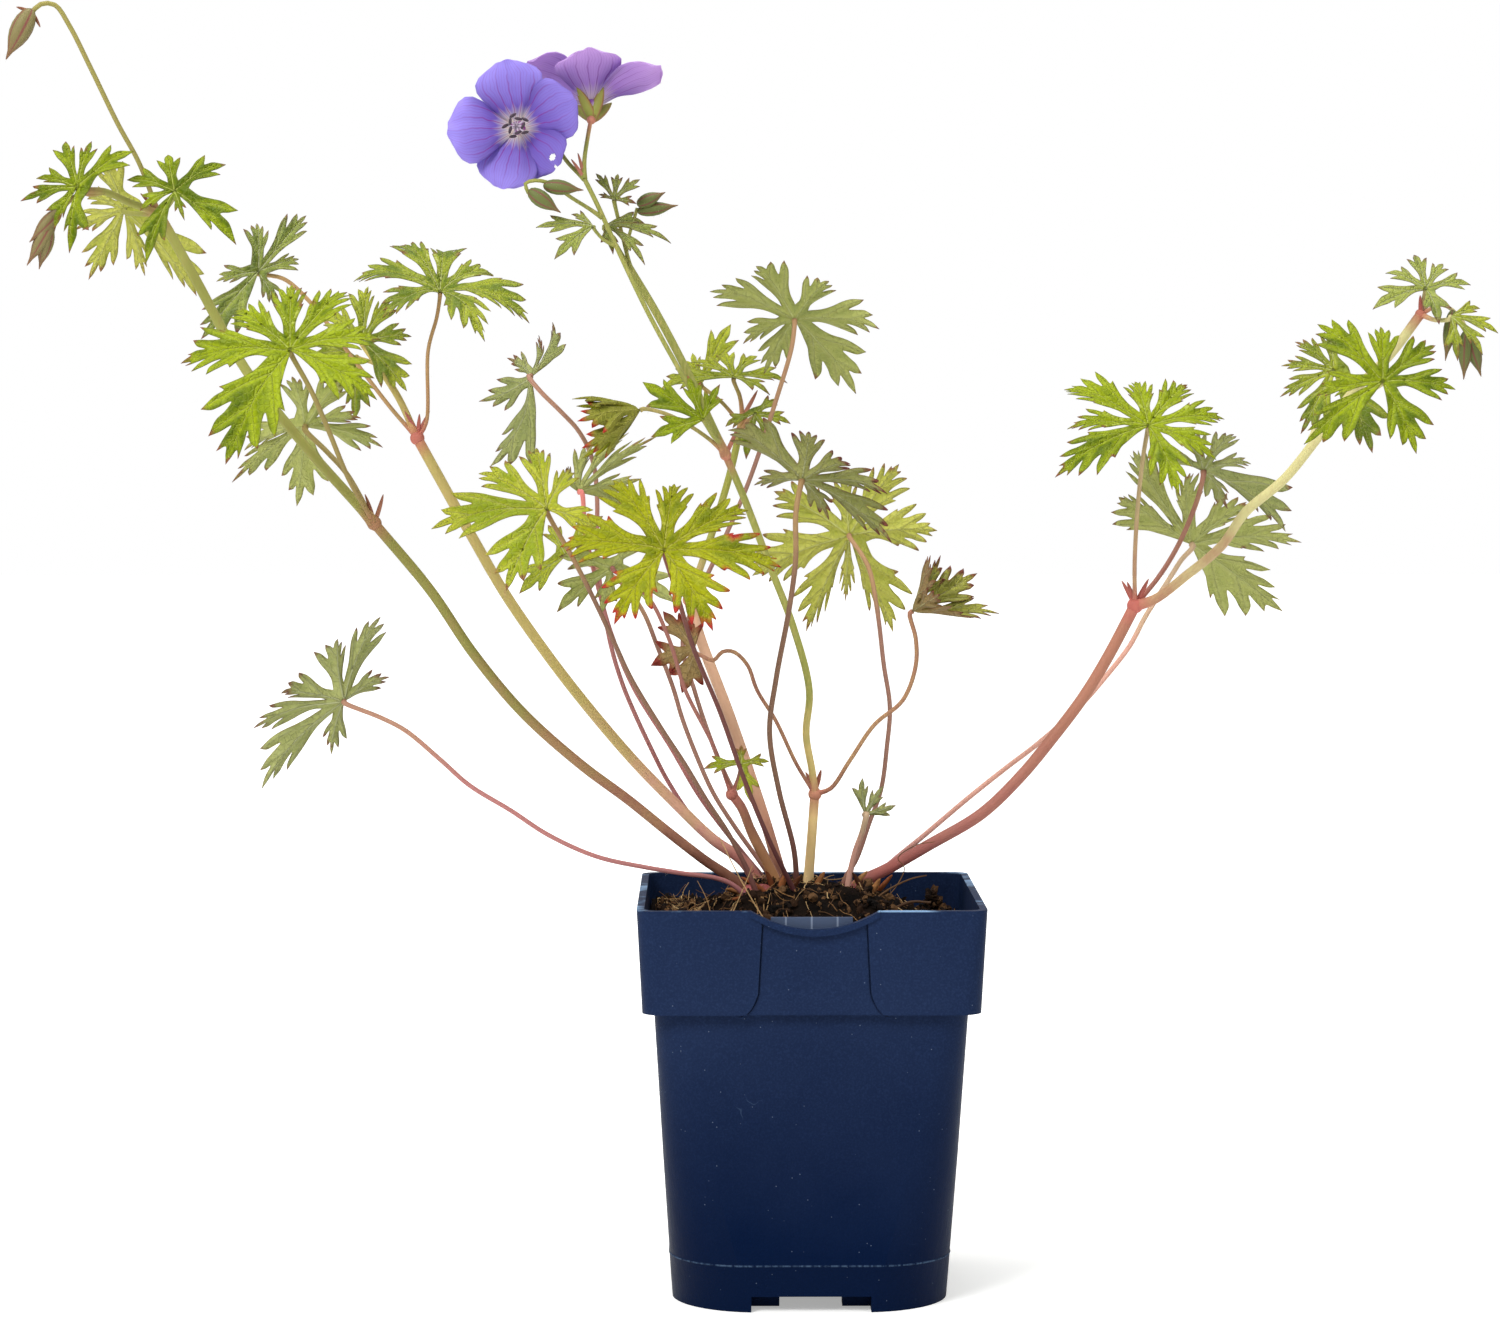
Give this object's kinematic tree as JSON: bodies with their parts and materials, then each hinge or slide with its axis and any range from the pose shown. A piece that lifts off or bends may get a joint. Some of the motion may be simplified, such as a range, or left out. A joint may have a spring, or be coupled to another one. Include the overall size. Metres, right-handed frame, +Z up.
{
  "type": "hardy geranium in a square nursery pot",
  "caption": "Flowering cranesbill perennial with palmate cut leaves on arching stems, growing in peat in a square plastic nursery pot.",
  "frame": {"origin": "under the middle of the whole plant's box, on the surface that the pot stands on", "axes": "+Z up, +X to the right as the plant is seen from its front, which faces -Y"},
  "size_m": [0.465, 0.1952, 0.407],
  "materials": {
    "pot": "satin navy injection-moulded plastic, fine vertical drag marks, scuffs",
    "peat": "dark brown peat with straw and bark fibres",
    "leaf_green": "soft lime green leaf with paler veins, greyer underneath",
    "leaf_yellow": "yellow-green leaf with reddish teeth",
    "leaf_dark": "dark grey-green leaf, raised veins on the underside",
    "leaf_red": "small leaf flushed red-brown",
    "stem": "smooth hairy stem, pink-brown at the foot, olive green above",
    "petiole": "thin pink-brown leaf stalk",
    "petal_blue": "translucent violet-blue petal with magenta veins and a pale throat",
    "petal_lilac": "translucent lilac petal with fine darker veins",
    "stamen": "pale filaments with dark brown anthers"
  },
  "bodies": {
    "root": {"pot": "pot", "leaf_low_left": "leaf_dark", "leaf_bright_left": "leaf_green", "leaf_behind_left": "leaf_green", "leaf_dark_back": "leaf_dark", "leaf_whorl_back": "leaf_green", "leaf_pale_back": "leaf_green", "leaf_tall_left": "leaf_green", "leaf_edge_left": "leaf_dark", "leaf_wide_left": "leaf_yellow", "leaf_thin_left": "leaf_green", "leaf_front": "leaf_yellow", "leaf_behind_front": "leaf_green", "leaf_shaded_left": "leaf_green", "leaf_red": "leaf_red", "leaf_curled": "leaf_dark", "leaf_fork": "leaf_green", "leaf_upper_a": "leaf_green", "leaf_upper_b": "leaf_green", "leaf_toothed": "leaf_green", "leaf_high_centre": "leaf_green", "leaf_dark_centre": "leaf_dark", "leaf_backlit": "leaf_yellow", "leaf_crumpled": "leaf_dark", "leaf_right_a": "leaf_green", "leaf_right_b": "leaf_green", "leaf_right_c": "leaf_green", "leaf_far_right": "leaf_green", "leaf_far_right_back": "leaf_green", "leaf_tip_right": "leaf_green", "leaf_tip_right_b": "leaf_green", "leaf_top_left": "leaf_green", "leaf_top_under": "leaf_green", "leaf_top_front": "leaf_green", "leaf_low_small": "leaf_yellow", "leaf_low_right": "leaf_green", "leaf_bract": "leaf_green", "leaf_bract_left": "leaf_green", "leaf_bract_top": "leaf_green", "stem_far_left": "stem", "stem_left": "stem", "stem_centre": "stem", "stem_back": "stem", "stem_short": "stem", "stem_right": "stem", "petiole_low_left": "petiole", "petiole_wide_left": "petiole", "petiole_thin_left": "petiole", "petiole_edge_left": "petiole", "petiole_shaded": "petiole", "petiole_front": "petiole", "petiole_dark_centre": "petiole", "petiole_high_centre": "petiole", "petiole_backlit": "petiole", "petiole_low_right": "petiole", "petiole_twin_right": "petiole", "corolla_open": "petal_blue", "corolla_side": "petal_lilac", "stamens_open": "stamen", "soil": "peat"}
  },
  "joints": []
}
